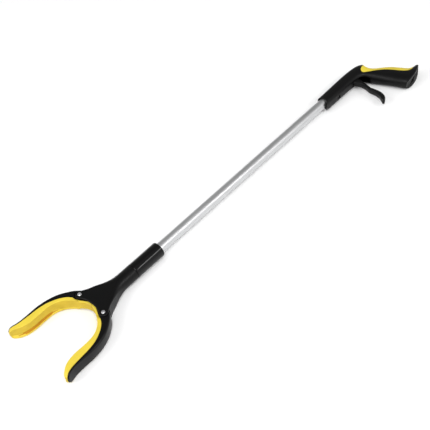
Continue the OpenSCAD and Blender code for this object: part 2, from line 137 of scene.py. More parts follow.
def mesh_object(name, verts, faces):
    """An object from points of the design, with its normals outwards."""
    mesh = bpy.data.meshes.new(name)
    mesh.from_pydata([at(*v) for v in verts], [], faces)
    bm = bmesh.new()
    bm.from_mesh(mesh)
    bmesh.ops.remove_doubles(bm, verts=bm.verts, dist=POINT_WELD)
    bmesh.ops.recalc_face_normals(bm, faces=bm.faces)
    bm.to_mesh(mesh)
    bm.free()
    return linked(name, mesh)


def loft(name, rings):
    """A closed solid through rings that all have the same number of points."""
    n = len(rings[0])
    verts = [p for ring in rings for p in ring]
    faces = [
        (i * n + k, i * n + (k + 1) % n, (i + 1) * n + (k + 1) % n, (i + 1) * n + k)
        for i in range(len(rings) - 1) for k in range(n)
    ]
    faces.append(tuple(range(n - 1, -1, -1)))
    faces.append(tuple((len(rings) - 1) * n + k for k in range(n)))
    return mesh_object(name, verts, faces)


def slab(name, plan, z0, z1, r=0.0, steps=4):
    """A plan outline made into a solid from z0 to z1, its lower and upper edges rounded by r."""
    if area(plan) < 0:
        plan = plan[::-1]
    inward = normals(plan, True)
    angles = [math.pi / 2 * k / steps for k in range(steps + 1)] if r > 0 else [0.0]
    levels = [(a, z0 + r * (1 - math.cos(a))) for a in angles]
    levels += [(a, z1 - r * (1 - math.cos(a))) for a in angles[::-1]]
    rings = []
    for a, z in levels:
        d = r * (1 - math.sin(a))
        rings.append([(p[0] + q[0] * d, p[1] + q[1] * d, z) for p, q in zip(plan, inward)])
    return loft(name, rings)


def lathe(name, profile, sides=64, axis="x", centre=(0, 0, 0)):
    """A closed profile of (along, radius) points turned round an axis through centre."""
    rings = []
    for k in range(sides):
        a = 2 * math.pi * k / sides
        c, s = math.cos(a), math.sin(a)
        if axis == "x":
            ring = [(centre[0] + u, centre[1] + r * c, centre[2] + r * s) for u, r in profile]
        elif axis == "y":
            ring = [(centre[0] + r * c, centre[1] + u, centre[2] + r * s) for u, r in profile]
        else:
            ring = [(centre[0] + r * c, centre[1] + r * s, centre[2] + u) for u, r in profile]
        rings.append(ring)
    n = len(profile)
    verts = [p for ring in rings for p in ring]
    faces = [
        (i * n + k, i * n + (k + 1) % n, (i + 1) % sides * n + (k + 1) % n, (i + 1) % sides * n + k)
        for i in range(sides) for k in range(n)
    ]
    return mesh_object(name, verts, faces)


def rod(r, u0, u1, axis="x", centre=(0, 0, 0), sides=48):
    """A round tool of radius r from u0 to u1 along an axis through centre."""
    return lathe("tool", [(u0, 0), (u0, r), (u1, r), (u1, 0)], sides, axis, centre)


def pin(r, z0, z1, place, sides=32):
    """A round tool standing on a plan point."""
    return rod(r, z0, z1, "z", (*place, 0), sides)


def block(x0, x1, y0, y1, z0, z1):
    """A square-edged tool."""
    return slab("tool", [(x0, y0), (x1, y0), (x1, y1), (x0, y1)], z0, z1)


def boolean(obj, kind, tool):
    """Changes obj by the tool, which is used up."""
    mod = obj.modifiers.new("boolean", "BOOLEAN")
    mod.operation = kind
    mod.solver = "EXACT"
    mod.object = tool
    bpy.context.view_layer.update()
    graph = bpy.context.evaluated_depsgraph_get()
    mesh = bpy.data.meshes.new_from_object(obj.evaluated_get(graph))
    obj.modifiers.clear()
    obj.data = mesh
    bpy.data.objects.remove(tool)
    return obj


def cut(obj, tool):
    return boolean(obj, "DIFFERENCE", tool)


def join(obj, tool):
    return boolean(obj, "UNION", tool)


def common(obj, tool):
    return boolean(obj, "INTERSECT", tool)


def copy_of(obj, name):
    return linked(name, obj.data.copy())


def turned_over(obj, name):
    """A copy turned half a turn round the tube's axis."""
    new = copy_of(obj, name)
    turn = Matrix.Translation(ORIGIN) @ Matrix.Rotation(math.pi, 4, "X") @ Matrix.Translation(-ORIGIN)
    new.data.transform(turn)
    return new


def piece(obj, body, material, replaced=(), angle=32):
    """Cleans and shades a finished mesh, and puts it on its body; no material keeps its own."""
    bm = bmesh.new()
    bm.from_mesh(obj.data)
    bmesh.ops.remove_doubles(bm, verts=bm.verts, dist=PIECE_WELD)
    bmesh.ops.dissolve_degenerate(bm, edges=bm.edges, dist=EDGE_WELD)
    bmesh.ops.recalc_face_normals(bm, faces=bm.faces)
    bm.to_mesh(obj.data)
    bm.free()
    for face in obj.data.polygons:
        face.use_smooth = True
    obj.data.set_sharp_from_angle(angle=math.radians(angle))
    if material:
        obj.data.materials.clear()
        obj.data.materials.append(material)
    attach(obj, body)
    if replaced:
        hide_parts(*replaced)
    return obj


# ---------------------------------------------------------------- materials

# noise scales, in repeats to a metre
MOTTLE_SCALE = 55
PATCH_SCALE = 30
STREAK_SCALE = 900
PAPER_SCALE = 400
NOISE_ROUGHNESS = 0.55
# the part of a noise's range that is spread over the whole of what it drives
NOISE_LOW = 0.35
NOISE_HIGH = 0.65
# bump distances, in metres
GRAIN_RELIEF = 0.00012
MOTTLE_RELIEF = 0.0003
STREAK_RELIEF = 0.00002
MOTTLE_BUMP = 0.12


def new_material(name, base, roughness, metallic=0.0, specular=0.5):
    mat = bpy.data.materials.new(name)
    mat.use_nodes = True
    shader = mat.node_tree.nodes["Principled BSDF"]
    shader.inputs["Base Color"].default_value = (*base, 1)
    shader.inputs["Roughness"].default_value = roughness
    shader.inputs["Metallic"].default_value = metallic
    shader.inputs["Specular IOR Level"].default_value = specular
    return mat, mat.node_tree, shader


def noise_of(tree, scale, detail, stretch=(1, 1, 1)):
    """A noise in the object's own space."""
    coords = tree.nodes.new("ShaderNodeTexCoord")
    mapping = tree.nodes.new("ShaderNodeMapping")
    mapping.inputs["Scale"].default_value = stretch
    noise = tree.nodes.new("ShaderNodeTexNoise")
    noise.inputs["Scale"].default_value = scale
    noise.inputs["Detail"].default_value = detail
    noise.inputs["Roughness"].default_value = NOISE_ROUGHNESS
    tree.links.new(coords.outputs["Object"], mapping.inputs["Vector"])
    tree.links.new(mapping.outputs["Vector"], noise.inputs["Vector"])
    return noise.outputs["Fac"]


def mapped(tree, value, low, high, from_low=NOISE_LOW, from_high=NOISE_HIGH):
    """The value spread over low to high, and held there beyond its own range."""
    node = tree.nodes.new("ShaderNodeMapRange")
    node.inputs["From Min"].default_value = from_low
    node.inputs["From Max"].default_value = from_high
    node.inputs["To Min"].default_value = low
    node.inputs["To Max"].default_value = high
    tree.links.new(value, node.inputs["Value"])
    return node.outputs["Result"]


def add(tree, a, b):
    """The sum of one output and another output or a plain number."""
    node = tree.nodes.new("ShaderNodeMath")
    tree.links.new(a, node.inputs[0])
    if isinstance(b, float):
        node.inputs[1].default_value = b
    else:
        tree.links.new(b, node.inputs[1])
    return node.outputs["Value"]


def coloured(tree, shader, noise, dark, light):
    """Colours the shader from dark to light by a noise."""
    node = tree.nodes.new("ShaderNodeMix")
    node.data_type = "RGBA"
    node.inputs["A"].default_value = (*dark, 1)
    node.inputs["B"].default_value = (*light, 1)
    tree.links.new(mapped(tree, noise, 0, 1), node.inputs["Factor"])
    tree.links.new(node.outputs["Result"], shader.inputs["Base Color"])


def bumped(tree, shader, heights):
    """Chains bump nodes, one for each (height, strength, distance in metres)."""
    normal = None
    for height, strength, distance in heights:
        node = tree.nodes.new("ShaderNodeBump")
        node.inputs["Strength"].default_value = strength
        node.inputs["Distance"].default_value = distance
        tree.links.new(height, node.inputs["Height"])
        if normal:
            tree.links.new(normal, node.inputs["Normal"])
        normal = node.outputs["Normal"]
    tree.links.new(normal, shader.inputs["Normal"])


def moulded(name, base, roughness, grain, specular, bump, vary=0.2):
    """Moulded plastic or rubber: slow mottling in colour, fine grain in gloss and relief."""
    mat, tree, shader = new_material(name, base, roughness, 0.0, specular)
    slow = noise_of(tree, MOTTLE_SCALE, 3)
    fine = noise_of(tree, grain, 2)
    dark = [c * (1 - vary) for c in base]
    light = [min(c * (1 + vary), 1) for c in base]
    coloured(tree, shader, slow, dark, light)
    rough = mapped(tree, fine, roughness - 0.05, roughness + 0.06)
    tree.links.new(rough, shader.inputs["Roughness"])
    bumped(tree, shader, [(fine, bump, GRAIN_RELIEF), (slow, MOTTLE_BUMP, MOTTLE_RELIEF)])
    return mat


def drawn_metal(name, base, roughness, stretch, streak=0.08, bump=0.12):
    """Drawn or turned metal: long fine streaks and a little patchiness."""
    mat, tree, shader = new_material(name, base, roughness, 1.0)
    streaks = noise_of(tree, STREAK_SCALE, 3, stretch)
    slow = noise_of(tree, PATCH_SCALE, 3)
    coloured(tree, shader, streaks, [c * (1 - streak) for c in base], base)
    fine_gloss = mapped(tree, streaks, roughness - 0.04, roughness + 0.04)
    slow_gloss = mapped(tree, slow, -0.03, 0.03)
    tree.links.new(add(tree, fine_gloss, slow_gloss), shader.inputs["Roughness"])
    bumped(tree, shader, [(streaks, bump, STREAK_RELIEF)])
    return mat


black_plastic = moulded("black_plastic", (0.0012, 0.0012, 0.0013), 0.34, 1400, 0.20, bump=0.2)
black_handle = moulded("black_handle", (0.0014, 0.0014, 0.0015), 0.38, 1500, 0.18, bump=0.4)
black_gloss = moulded("black_gloss", (0.0006, 0.0006, 0.0007), 0.10, 900, 0.26, bump=0.02)
black_trigger = moulded("black_trigger", (0.0012, 0.0012, 0.0013), 0.36, 1400, 0.18, bump=0.2)
yellow_rubber = moulded("yellow_rubber", (0.71, 0.545, 0.05), 0.5, 1800, 0.35, bump=0.35, vary=0.05)
yellow_grip = moulded("yellow_grip", (0.70, 0.555, 0.05), 0.52, 1500, 0.3, bump=0.5, vary=0.06)
# painted shade: the gripping face above the crease, a darker copy of the pad's own yellow
face_painted_shade = moulded("face_painted_shade", (0.60, 0.43, 0.032), 0.6, 900, 0.25, bump=0.6, vary=0.06)
# painted shade: orange for the shade deep in the pad's crease
crease_painted_shade = moulded("crease_painted_shade", (0.46, 0.205, 0.004), 0.6, 900, 0.2, bump=0.4, vary=0.06)
white_plastic = moulded("white_plastic", (0.78, 0.78, 0.74), 0.42, 2400, 0.5, bump=0.15, vary=0.04)
aluminium = drawn_metal("aluminium", (0.60, 0.605, 0.61), 0.40, (0.01, 0.3, 0.3), streak=0.03, bump=0.0)
chrome = drawn_metal("chrome", (0.60, 0.60, 0.61), 0.22, (1, 1, 1), bump=0.05)
steel = drawn_metal("steel", (0.56, 0.56, 0.58), 0.32, (0.05, 1, 1))
dark_steel = drawn_metal("dark_steel", (0.05, 0.05, 0.055), 0.42, (1, 1, 1))


# ---------------------------------------------------------------- head casing

HEAD_HALF = 11.0
HEAD_SEAM = 0.05
PAST_SEAM = 1.0
CAVITY_Z = 8.6
NECK_END = -55.3
NECK_R = 12.25
NECK_LIP = 0.5
NECK_ROUND = 0.985      # the neck's round takes this much of its half width
NECK_TO_PLATE = (-76, -118)     # where the round neck starts and ends turning into the plate
PIVOT = (-138.2, 25.4)
PIVOTS = [PIVOT, (PIVOT[0], -PIVOT[1])]
LOBE_R = 7.0
EDGE_R = 1.5
ROUND_STEPS = 9
WALL_LEAST = 0.01

head_side = curve([
    (-84, 12.35), (-90, 12.9), (-95, 13.8), (-101, 15.4), (-108, 18), (-116, 21.1), (-123, 24.2),
    (-129, 27.8),
])
head_front = curve([(-143.2, 20.6), (-140.6, 16.4), (-138.8, 11), (-138, 5), (-137.8, 0)], 4)
head_half_plan = (
    [(NECK_END, NECK_R - NECK_LIP), (NECK_END - NECK_LIP, NECK_R)]
    + [(x, NECK_R) for x in (-62, -70, -78)]
    + head_side + arc(PIVOT, LOBE_R, 62, 224, 24) + head_front
)
head_chain = head_half_plan + [(x, -y) for x, y in head_half_plan[-2::-1]]
cavity_half = [
    (-101, 0), (-101, 11.5), (-102, 11.9), (-108, 15.1), (-116, 18.8), (-123, 22.1), (-127.4, 25),
    (-130.6, 36), (-162, 36), (-162, 0),
]
cavity_plan = cavity_half + [(x, -y) for x, y in cavity_half[-2:0:-1]]
# the swivel's grooved bore in the neck, as (along, radius)
BORE = [
    (-102, 0), (-102, 8.4), (-78.9, 8.4), (-78.9, 2), (-76.3, 2), (-76.3, 6.55), (-70.05, 6.55),
    (-70.05, 9.05), (-63.95, 9.05), (-63.95, 6.55), (-54, 6.55), (-54, 0),
]


def casing_sizes():
    """The half height, and the width and height of the edge's round, along the outline."""
    sizes = []
    for i, (x, y) in enumerate(head_chain):
        plate = smooth(x, *NECK_TO_PLATE)
        h = mix(NECK_R, HEAD_HALF, plate) - (NECK_LIP if i in (0, len(head_chain) - 1) else 0)
        sizes.append((h, mix(NECK_ROUND * abs(y), EDGE_R, plate), mix(h, EDGE_R, plate)))
    return sizes


def casing_rings(sign):
    """The seam's outline, then the outline at each step of the rounded edge."""
    inward = normals(head_chain, False)
    for i in (0, 1):
        inward[i] = (0.0, -1.0)
        inward[-1 - i] = (0.0, 1.0)
    sizes = casing_sizes()
    rings = [[(x, y, sign * HEAD_SEAM) for x, y in head_chain]]
    for step in range(ROUND_STEPS + 1):
        angle = step / ROUND_STEPS * math.pi / 2
        ring = []
        for (x, y), n, (h, a, b) in zip(head_chain, inward, sizes):
            d = a * (1 - math.cos(angle))
            z = max(h - b + b * math.sin(angle), HEAD_SEAM + WALL_LEAST)
            ring.append((x + n[0] * d, y + n[1] * d, sign * z))
        rings.append(ring)
    return rings


def casing_half(name, sign):
    """One half of the casing, whose round neck spreads into a flat plate with rounded edges."""
    rings = casing_rings(sign)
    n = len(head_chain)
    verts = [p for ring in rings for p in ring]
    faces = [
        (i * n + k, i * n + k + 1, (i + 1) * n + k + 1, (i + 1) * n + k)
        for i in range(len(rings) - 1) for k in range(n - 1)
    ]
    firsts = [i * n for i in range(len(rings))]
    lasts = [i * n + n - 1 for i in range(len(rings))]
    faces.append(tuple(range(n)))
    faces.append(tuple(range(lasts[-1], firsts[-1] - 1, -1)))
    faces.append(tuple(firsts + lasts[::-1]))
    half = mesh_object(name, verts, faces)
    cut(half, slab("tool", cavity_plan, *sorted((-sign * PAST_SEAM, sign * CAVITY_Z))))
    cut(half, lathe("tool", BORE, 64))
    return half


# pockets for the pivot screws above, bosses for their nuts below, holes for two small screws
SCREW_POCKET = [(10.55, 0), (10.55, 4.1), (10.8, 4.35), (12, 4.35), (12, 0)]
NUT_BOSS = [(-12.5, 0), (-12.5, 5.5), (-12, 6), (-9.6, 6), (-9.6, 0)]
NUT_ROOM_R = 4.15
NUT_ROOM_TOP = -9.9
PIVOT_HOLE_R = 2.05
HEAD_SCREW = (-104, 9)
HEAD_SCREW_R = 2.5
HEAD_SCREW_TOP = -7.5
ABOVE_HEAD = 12
BELOW_HEAD = -14

upper = casing_half("head_casing_upper", 1)
for p in PIVOTS:
    cut(upper, lathe("tool", SCREW_POCKET, 40, "z", (*p, 0)))
    cut(upper, pin(PIVOT_HOLE_R, -PAST_SEAM, ABOVE_HEAD, p))
piece(upper, "head", black_plastic, ["head_shell_upper"])

lower = casing_half("head_casing_lower", -1)
for p in PIVOTS:
    join(lower, lathe("tool", NUT_BOSS, 48, "z", (*p, 0)))
    cut(lower, pin(NUT_ROOM_R, BELOW_HEAD, NUT_ROOM_TOP, p, 6))
    cut(lower, pin(PIVOT_HOLE_R, BELOW_HEAD, PAST_SEAM, p))
for side in (-1, 1):
    place = (HEAD_SCREW[0], side * HEAD_SCREW[1])
    cut(lower, pin(HEAD_SCREW_R, BELOW_HEAD, HEAD_SCREW_TOP, place))
piece(lower, "head", black_plastic, ["head_shell_lower"])

# the domed pivot screws, with a cross recess in each head
SHANK_R = 2.0
SHANK_STUB = -3.0
SHANK_SPAN = (-12.1, 9.0)
SCREW_SEAT = 10.9
SCREW_HEAD_R = 3.1
SCREW_HEAD_H = 1.95
DOME_EDGE = 0.35        # the dome's upright rim, part of the head's height
DOME_STEPS = 10
CROSS_HALF_LONG = 1.5
CROSS_HALF_WIDE = 0.36
CROSS_DEEP = 1.0
CROSS_TURN = 0.4


def pan_screw(name, place):
    """A domed screw head with a cross recess and the start of its shank."""
    dome = [(0.0, SCREW_HEAD_R)]
    for k in range(1, DOME_STEPS + 1):
        a = math.radians(90 * k / DOME_STEPS)
        rise = DOME_EDGE + (1 - DOME_EDGE) * math.sin(a)
        dome.append((SCREW_HEAD_H * rise, SCREW_HEAD_R * math.cos(a)))
    profile = [(SHANK_STUB, 0), (SHANK_STUB, SHANK_R), (0.0, SHANK_R)] + dome
    screw = lathe(name, profile, 48, "z", (*place, SCREW_SEAT))
    top = SCREW_SEAT + SCREW_HEAD_H
    u, v = CROSS_HALF_LONG, CROSS_HALF_WIDE
    for turn in (CROSS_TURN, CROSS_TURN + math.pi / 2):
        c, s = math.cos(turn), math.sin(turn)
        corners = [(-u, -v), (u, -v), (u, v), (-u, v)]
        plan = [(place[0] + c * a - s * b, place[1] + s * a + c * b) for a, b in corners]
        cut(screw, slab("tool", plan, top - CROSS_DEEP, top + 1))
    return screw


screws = pan_screw("pivot_screws", PIVOTS[0])
join(screws, pan_screw("pivot_screw_right", PIVOTS[1]))
for p in PIVOTS:
    join(screws, pin(SHANK_R, *SHANK_SPAN, p))
piece(screws, "head", chrome, ["pivot_screws"], 40)


# ---------------------------------------------------------------- jaws and pads

ARM_HALF = 10.4
PAD_HALF = 10.8
WING_HALF = 7.5
HUB_HALF = 8.3
THROAT_HALF = 7.8
THROAT_X = (-146.6, -148.6)
TIP = (-246.1, 61.0)
TIP_DIR = (-0.87, 0.49)
TIP_SQUARENESS = 2.5
TIP_BLUNT = 0.3
LOBE_ROOM = 8.6
HUB_R = 6.2
HUB_CORE_R = 4.2
HUB_BORE_R = 2.1
WING_EDGE_R = 0.5
ARM_OUTER_R = 3.4
ARM_INNER_R = 0.5
FORK_GAP = 3.05
FORK_ROOM = [(-146, -128, -1, 22.8), (-137, -128, 22.7, PIVOT[1])]
DRIVE_ARM = 9
DRIVE_ANGLE = math.radians(11.5)
DRIVE_PIN = (
    PIVOT[0] + DRIVE_ARM * math.sin(DRIVE_ANGLE), PIVOT[1] - DRIVE_ARM * math.cos(DRIVE_ANGLE)
)
DRIVE_PIN_R = 1.52
THROUGH = 20            # further from the middle than any part reaches
RUNG_LEAST = 0.05
BITE = 0.1              # how far joined solids reach into each other

pad_back = curve([
    (-136.6, 0.5), (-137.9, 7.5), (-141, 14), (-143.8, 18.8), (-146, 24), (-148.4, 29.8),
    (-152.9, 36.6), (-160.2, 43), (-168.9, 48), (-179.9, 52.5), (-193.2, 55.2), (-210.8, 56.5),
    (-226.9, 57.8), (-236.9, 60.2), (-243.4, 63),
])
pad_front = curve([
    (-139.6, 0.5), (-141, 7.5), (-144.2, 13.5), (-147.6, 19.5), (-152.2, 26.8), (-159.8, 35),
    (-169.2, 41), (-181.8, 44.2), (-196.3, 44.6), (-212.4, 44.4), (-225.4, 46.3), (-234.6, 50.2),
    (-242, 55.8), (-244.9, 58.2), (-246.1, 61),
])
arm_outer = curve([
    (-131.4, 30.8), (-134, 34.8), (-138.2, 39.4), (-145.4, 45.1), (-154.8, 51.2), (-165.3, 55.9),
    (-179.5, 59.6), (-195.8, 60.9), (-211.9, 60.4), (-227.1, 60.8), (-236.2, 62.7), (-243, 65.3),
    (-244.5, 64.9), (-244.8, 64.2),
])
ARM_FROM = 25           # the arm's inner side leaves the rubber's back at this point of it
wing_back = curve([
    (-133.2, 1.4), (-133.6, 6), (-133.4, 11.5), (-132.6, 15), (-132.2, 18.5), (-132, 24),
], 4)


def lengths(path):
    """How far along the path each of its points lies."""
    out = [0.0]
    for a, b in zip(path, path[1:]):
        out.append(out[-1] + math.dist(a, b))
    return out


def resampled(path, fractions):
    """Points at fractions of the path's length."""
    run = lengths(path)
    out = []
    for f in fractions:
        d = f * run[-1]
        i = max(k for k in range(len(run) - 1) if run[k] <= d or k == 0)
        t = (d - run[i]) / max(run[i + 1] - run[i], 1e-9)
        out.append(tuple(mix(a, b, t) for a, b in zip(path[i], path[i + 1])))
    return out


def tip_half(p, half):
    """Half the thickness at a plan point: it closes as a blunt round end towards the tip."""
    u = (TIP[0] - p[0]) * TIP_DIR[0] + (TIP[1] - p[1]) * TIP_DIR[1]
    if u >= half:
        return half
    u = max(u, TIP_BLUNT)
    return half * (1 - ((half - u) / half) ** TIP_SQUARENESS) ** (1 / TIP_SQUARENESS)


def rung_ring(outer, inner, section, half):
    """A ring round one rung from its section of (part of the way, part of the half thickness).

    half is a function that gives the half thickness at a plan point.
    """
    ring = []
    for s, z in section:
        p = (mix(outer[0], inner[0], s), mix(outer[1], inner[1], s))
        ring.append((*p, z * half(p)))
    return ring


def rounded_box(w, h, r_out, r_in, n=6):
    """For rung_ring, a box w wide and 2h high with its own corner radius on each side."""
    r_out = min(r_out, 0.48 * w)
    r_in = min(r_in, 0.48 * w)
    points = []
    corners = ((r_out, -1, 180, 270), (r_in, -1, 270, 360), (r_in, 1, 0, 90), (r_out, 1, 90, 180))
    for i, (r, side, a0, a1) in enumerate(corners):
        cx = r if i in (0, 3) else w - r
        for k in range(n + 1):
            a = math.radians(mix(a0, a1, k / n))
            points.append(((cx + r * math.cos(a)) / w, (side * (h - r) + r * math.sin(a)) / h))
    return points


def tip_steps(even, share, fine):
    """Even steps for a share of the way, then closer and closer ones round the tip."""
    steps = [i / even * share for i in range(even)]
    rest = 1 - share
    return steps + [share + rest * math.sin(math.pi / 2 * i / fine) for i in range(fine + 1)]


def width_between(outer, inner):
    """The length of a rung, which never closes to nothing."""
    return max(math.dist(outer, inner), RUNG_LEAST)


arm_steps = tip_steps(60, 0.9, 16)
arm_inner = [(-131.2, 26.8), (-138, 25.4)] + pad_back[ARM_FROM:] + [(-244.8, 64.2)]
rings = []
for outer, inner in zip(resampled(arm_outer, arm_steps), resampled(arm_inner, arm_steps)):
    section = rounded_box(width_between(outer, inner), ARM_HALF, ARM_OUTER_R, ARM_INNER_R)
    rings.append(rung_ring(outer, inner, section, lambda p: tip_half(p, ARM_HALF)))
jaw = loft("jaw_arm_left", rings)
for z0, z1 in ((HUB_HALF - BITE, THROUGH), (-THROUGH, BITE - HUB_HALF)):
    cut(jaw, pin(LOBE_ROOM, z0, z1, PIVOT, 96))
wing_plan = pad_back[:ARM_FROM + 1] + wing_back[::-1]
join(jaw, slab("tool", wing_plan, -WING_HALF, WING_HALF, WING_EDGE_R))
join(jaw, pin(HUB_R, -HUB_HALF, HUB_HALF, PIVOT, 72))
for room in FORK_ROOM:
    cut(jaw, block(*room, -FORK_GAP, FORK_GAP))
join(jaw, pin(HUB_CORE_R, -FORK_GAP - BITE, FORK_GAP + BITE, PIVOT, 64))
cut(jaw, pin(HUB_BORE_R, -THROUGH, THROUGH, PIVOT, 48))
cut(jaw, pin(DRIVE_PIN_R, -THROUGH, THROUGH, DRIVE_PIN))
jaw_right = turned_over(jaw, "jaw_arm_right")
piece(jaw, "jaw_left", black_plastic, ["jaw_left"])
piece(jaw_right, "jaw_right", black_plastic, ["jaw_right"])

# across the rubber's face: part of the half thickness, part of the channel's depth there
CHANNEL = [
    (-0.90, 0), (-0.78, 0), (-0.70, 0.10), (-0.60, 0.45), (-0.53, 0.85), (-0.48, 1.4),
    (-0.43, 0.98), (-0.20, 0.86), (0.05, 0.70), (0.30, 0.50), (0.55, 0.28), (0.72, 0.10),
    (0.80, 0.02), (0.90, 0),
]
CHANNEL_DEPTH = 3.0
FACE_LEAN = 1.7
PAD_EDGE_R = 1.0
PAD_EDGE_SHARE = 0.06   # how far its rounded edges reach into the face, part of the half thickness
PAD_EDGE_STEPS = 4


def channel_depth(f):
    """How deep the face is hollowed, part of the way f from the root to the tip."""
    opened = smooth(f, 0.30, 0.55)
    shallower = 1 - 0.35 * smooth(f, 0.8, 0.93)
    closed = 1 - smooth(f, 0.955, 0.985)
    return CHANNEL_DEPTH * opened * shallower * closed


def face_lean(f, w):
    """How far the face's upper edge stands back, part of the way f from the root to the tip."""
    return min(FACE_LEAN, 0.25 * w) * smooth(f, 0.2, 0.5) * (1 - smooth(f, 0.9, 0.98))


def pad_section(w, depth, lean, r):
    """For rung_ring, the rubber's section, w wide from its back to its hollowed face."""
    angles = [math.radians(90 * k / PAD_EDGE_STEPS) for k in range(PAD_EDGE_STEPS + 1)]
    low_edge = [
        (1 - r / w * (1 - math.sin(a)), -1 + PAD_EDGE_SHARE * (1 - math.cos(a))) for a in angles
    ]
    face = [(1 - (depth * d + lean * smooth(z, -0.4, 1.0)) / w, z) for z, d in CHANNEL]
    high_edge = [
        (1 - (lean + r * (1 - math.cos(a))) / w, 1 - PAD_EDGE_SHARE * (1 - math.sin(a)))
        for a in angles
    ]
    return [(0.0, -1.0)] + low_edge + face + high_edge + [(0.0, 1.0)]


def pad_half_at(p):
    """Half the pad's height at a plan point: low where it turns in the casing, round at the tip."""
    height = mix(THROAT_HALF, PAD_HALF, smooth(p[0], *THROAT_X))
    return min(tip_half(p, PAD_HALF), height)


pad_steps = tip_steps(76, 0.92, 18)
backs = resampled(pad_back + [(-245.6, 63.3)], pad_steps)
fronts = resampled(pad_front, pad_steps)
rings = []
for f, outer, inner in zip(pad_steps, backs, fronts):
    w = width_between(outer, inner)
    depth = min(channel_depth(f), 0.5 * w)
    section = pad_section(w, depth, face_lean(f, w), min(PAD_EDGE_R, 0.4 * w))
    rings.append(rung_ring(outer, inner, section, pad_half_at))
pad = loft("pad_rubber_left", rings)
# a small dimple of the moulding in the face near the tip
DIMPLE = [(-1.2, 0), (-1.2, 0.55), (3, 0.75), (3, 0)]
DIMPLE_AT = (-229.5, 47.7, 1.4)
cut(pad, lathe("tool", DIMPLE, 24, "y", DIMPLE_AT))

# where the painted shade of the crease lies: along the jaw in mm, then up it in parts of the pad's half
# thickness
CREASE_MID = (-204, -0.57)
CREASE_SPAN = (34, 0.16)
FACE_SHADE, CREASE_SHADE = 1, 2


def shade_pad(pad):
    """Paints shade on the pad: a darker yellow on the gripping face above its crease, and orange along
    the crease, both painted shade.
    """
    pad.data.materials.clear()
    for material in (yellow_rubber, face_painted_shade, crease_painted_shade):
        pad.data.materials.append(material)
    for face in pad.data.polygons:
        if face.normal.y >= -0.3 and face.normal.x >= -0.5:
            continue
        along = ((face.center.x - ORIGIN.x) / MM - CREASE_MID[0]) / CREASE_SPAN[0]
        up = (face.center.z - ORIGIN.z) / MM / PAD_HALF
        # painted shade: orange in a lens along the crease, darker yellow on the upright face above it
        if abs(up - CREASE_MID[1]) < CREASE_SPAN[1] * (1 - along ** 2):
            face.material_index = CREASE_SHADE
        elif abs(face.normal.z) < 0.5 and up > CREASE_MID[1]:
            face.material_index = FACE_SHADE


shade_pad(pad)
pad_right = turned_over(pad, "pad_rubber_right")
piece(pad, "jaw_left", None, ["pad_left"], 24)
piece(pad_right, "jaw_right", None, ["pad_right"], 24)

# ---------------------------------------------------------------- collar, tube and spring

COLLAR_R = 12.25
TUBE_R = 8.25
TUBE_IN_R = 7.15
TUBE_BACK = 439.0
TUBE_BEVEL = 0.2
TUBE_LENGTHS = 24
RIVET = (-25, 0, 0)
RIVET_HOLE_R = 1.62
RIVET_SINK_R = 3.1
RIVET_THROUGH_COLLAR = (-14, -6)
RIVET_SINK = (-14, -11.25)
TUBE_SCREW = (427, 0, 0)
TUBE_SCREW_HOLE_R = 1.52
ONE_TUBE_WALL = (-12, -3)

collar_profile = (
    [(-76, 1.65), (-76, 6.1), (-75.6, 6.5), (-70, 6.5), (-70, 9), (-65, 9), (-65, 6.5), (-55, 6.5)]
    + [(-55, 11.7), (-54.86, 12), (-54.5, 12.18)]
    + [(x, COLLAR_R) for x in (-54, -44, -34, -24, -14, -1)]
    + [(-0.5, 12.18), (-0.15, 11.95), (0, 11.6), (0, 8.6), (-0.4, 8.3), (-45, 8.3), (-45, 1.65)]
)
collar = lathe("collar", collar_profile, 128)
cut(collar, rod(RIVET_HOLE_R, *RIVET_THROUGH_COLLAR, "z", RIVET, 32))
cut(collar, rod(RIVET_SINK_R, *RIVET_SINK, "z", RIVET, 48))
piece(collar, "handle", black_gloss, ["head_socket"])

spans = [mix(-TUBE_IN_COLLAR, TUBE_BACK, i / TUBE_LENGTHS) for i in range(TUBE_LENGTHS + 1)]
tube_profile = (
    [(spans[0], TUBE_R - TUBE_BEVEL), (spans[0] + TUBE_BEVEL, TUBE_R)]
    + [(x, TUBE_R) for x in spans[1:-1]]
    + [(spans[-1] - TUBE_BEVEL, TUBE_R), (spans[-1], TUBE_R - TUBE_BEVEL)]
    + [(spans[-1], TUBE_IN_R), (spans[0], TUBE_IN_R)]
)
tube = lathe("aluminium_tube", tube_profile, 128)
cut(tube, rod(RIVET_HOLE_R, *ONE_TUBE_WALL, "z", RIVET, 32))
cut(tube, rod(TUBE_SCREW_HOLE_R, *ONE_TUBE_WALL, "y", TUBE_SCREW, 32))
piece(tube, "handle", aluminium, ["tube"])


def coil(name, x0, x1, outer_r, wire, turns, around=28, sides=12):
    """A coil spring wound evenly along X from x0 to x1."""
    r = outer_r - wire / 2
    rings = []
    count = turns * around
    for i in range(count + 1):
        a = 2 * math.pi * i / around
        t = i / count
        x = x0 + wire / 2 + (x1 - x0 - wire) * t
        ring = []
        for k in range(sides):
            b = 2 * math.pi * k / sides
            q = r + wire / 2 * math.cos(b)
            ring.append((x + wire / 2 * math.sin(b), q * math.cos(a), q * math.sin(a)))
        rings.append(ring)
    return loft(name, rings)


spring = coil("spring_coil", x0=-107.95, x1=-80.05, outer_r=4.2, wire=1.1, turns=7)
piece(spring, "head", steel, ["return_spring"])
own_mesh(spring)

# ---------------------------------------------------------------- handle

insert_edge = curve([
    (509.7, -3.2), (501.6, -3.6), (493.6, -7), (490.6, -13.2), (497, -21.6), (508, -31),
    (517.4, -41), (524.6, -53), (530.6, -64), (537.6, -72.6), (547, -75.6), (559.5, -71.6),
])
back_edge = curve([
    (509.7, -3.2), (508.8, -7), (508.9, -11.6), (511.6, -18.4), (519, -26.4), (529, -35.4),
    (537, -45.4), (543, -56.4), (547.6, -65), (552.6, -69.8), (559.5, -71.6),
])

